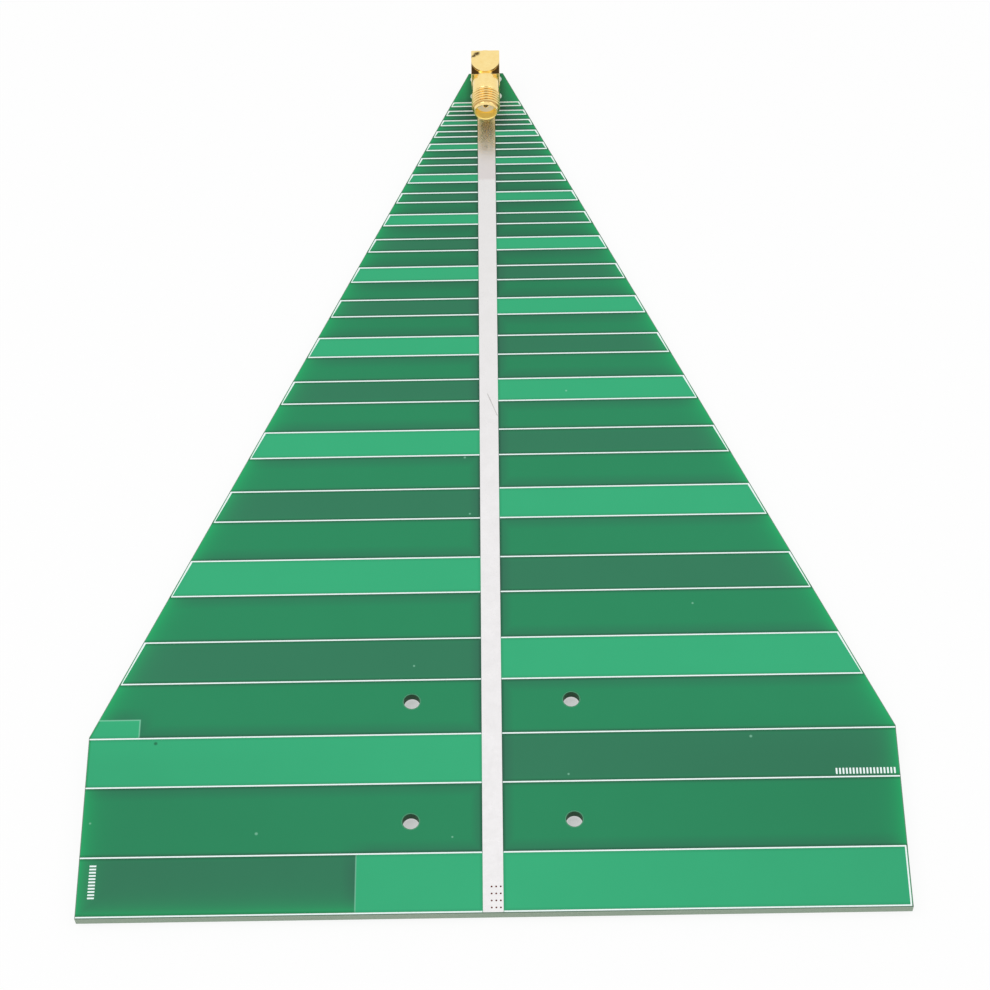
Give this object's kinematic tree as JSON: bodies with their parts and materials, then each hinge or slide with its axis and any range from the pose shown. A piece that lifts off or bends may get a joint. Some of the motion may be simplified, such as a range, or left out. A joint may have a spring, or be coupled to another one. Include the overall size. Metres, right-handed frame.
{
  "type": "ultra-wideband antenna",
  "caption": "Flat log-periodic ultra-wideband antenna: tapered circuit board with printed dipole arms on both faces and a right-angle threaded coaxial jack at its tip.",
  "frame": {"origin": "centre of the four mounting holes, on the laminate's back face", "axes": "+Z along the mounting holes towards the connector's side, +Y along the board from its wide end to its tip, +X to the right"},
  "size_m": [0.1578, 0.2081, 0.0126],
  "materials": {
    "laminate": "glass-fibre laminate, sawn edge",
    "copper_foil": "bare copper foil and plating",
    "green_mask": "glossy green solder mask",
    "tin_coat": "bright levelled tin",
    "white_ink": "printed white ink",
    "gold_plate": "gold-plated brass, polished",
    "white_insulator": "white fluoropolymer",
    "solder": "bright solder"
  },
  "bodies": {
    "root": {"fr4_laminate": "laminate", "front_copper": "copper_foil", "back_copper": "copper_foil", "front_solder_mask": "green_mask", "back_solder_mask": "green_mask", "front_boom_tin": "tin_coat", "back_boom_tin": "tin_coat", "front_silkscreen": "white_ink", "via_barrels": "copper_foil", "leg_hole_plating": "copper_foil", "pin_hole_plating": "copper_foil", "connector_block": "gold_plate", "connector_cap": "gold_plate", "connector_barrel": "gold_plate", "barrel_insulator": "white_insulator", "pin_insulator": "white_insulator", "centre_socket": "gold_plate", "centre_pin": "gold_plate", "pin_solder": "solder", "leg_solder_front_left": "solder", "leg_solder_front_right": "solder", "leg_solder_rear_left": "solder", "leg_solder_rear_right": "solder"}
  },
  "joints": []
}
